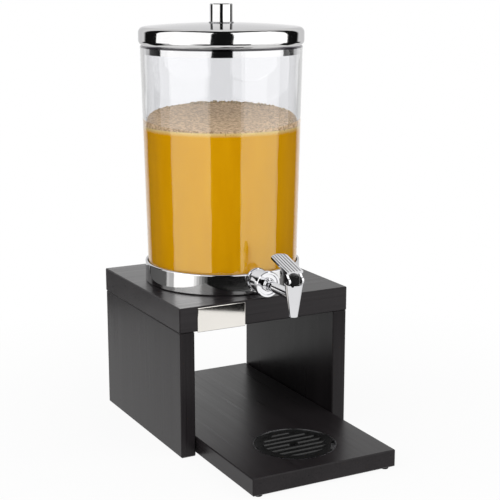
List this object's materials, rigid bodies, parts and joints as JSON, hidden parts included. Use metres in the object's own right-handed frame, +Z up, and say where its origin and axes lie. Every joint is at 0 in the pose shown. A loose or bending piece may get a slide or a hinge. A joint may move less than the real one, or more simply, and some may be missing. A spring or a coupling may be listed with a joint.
{
  "type": "juice dispenser",
  "caption": "Free-standing juice dispenser: clear tapered tank with a domed steel lid and a self-closing chromed tap, on a black bridge stand with a pull-out drip board.",
  "frame": {"origin": "on the table, under the middle of the footprint", "axes": "+Z up, +X to the right, the tap points to -Y"},
  "size_m": [0.2, 0.329, 0.4621],
  "materials": {
    "stained_wood": "black stain, satin",
    "dowel_wood": "raw",
    "polished_steel": "mirror polished",
    "chrome_plate": "bright plating",
    "clear_plastic": "clear, glossy",
    "black_plastic": "moulded, satin",
    "grey_steel": "satin",
    "rubber": "matt",
    "silicone": "matt",
    "pack_plastic": "smooth",
    "screw_steel": "bright"
  },
  "bodies": {
    "stand": {"top_board": "stained_wood", "left_leg": "stained_wood", "right_leg": "stained_wood", "leg_dowels": "dowel_wood", "base_ring": "polished_steel", "ring_screws": "screw_steel", "cooling_pack": "pack_plastic", "sign_plate": "polished_steel"},
    "drip_board": {"base_board": "stained_wood", "board_feet": "rubber"},
    "drip_cup": {"drip_cup": "grey_steel"},
    "drip_grille": {"drip_grille": "black_plastic"},
    "tank": {"tank": "clear_plastic", "tap_outer_seal": "silicone", "tap_shank": "chrome_plate", "tap_union_nut": "chrome_plate", "tap_body": "chrome_plate", "tap_bonnet": "black_plastic", "tap_spring": "screw_steel"},
    "tap_stem": {"valve_stem": "screw_steel", "stem_head": "black_plastic", "valve_plug": "silicone"},
    "tap_lever": {"tap_lever": "chrome_plate", "lever_pin": "screw_steel"},
    "lid": {"lid_shell": "polished_steel", "lid_inner_ring": "polished_steel", "lid_knob": "polished_steel", "knob_rosette": "polished_steel", "lid_screw": "screw_steel"}
  },
  "joints": [
    {"name": "drip_board_slide", "type": "slide", "parent": "stand", "child": "drip_board", "axis": [0, -1, 0], "range_m": [0, 0.21]},
    {"name": "drip_cup_lift", "type": "slide", "parent": "drip_board", "child": "drip_cup", "axis": [0, 0, 1], "range_m": [0, 0.04]},
    {"name": "drip_grille_lift", "type": "slide", "parent": "drip_cup", "child": "drip_grille", "axis": [0, 0, 1], "range_m": [0, 0.03]},
    {"name": "tank_lift", "type": "slide", "parent": "stand", "child": "tank", "axis": [0, 0, 1], "range_m": [0, 0.05]},
    {"name": "lid_lift", "type": "slide", "parent": "tank", "child": "lid", "axis": [0, 0, 1], "range_m": [0, 0.06]},
    {"name": "stem_lift", "type": "slide", "parent": "tank", "child": "tap_stem", "axis": [0, 0, 1], "range_m": [0, 0.0027], "deforming": ["tap_spring"]},
    {"name": "lever_tilt", "type": "hinge", "parent": "tap_stem", "child": "tap_lever", "pos_m": [0, -0.097, 0.19095], "axis": [1, 0, 0], "range_deg": [0, 60], "stiffness_Nm_per_rad": 0.0049, "springref_deg": -138.66}
  ],
  "couplings": [
    {"joint": "stem_lift", "follows": "lever_tilt", "m_per_rad": 0.0024828}
  ]
}
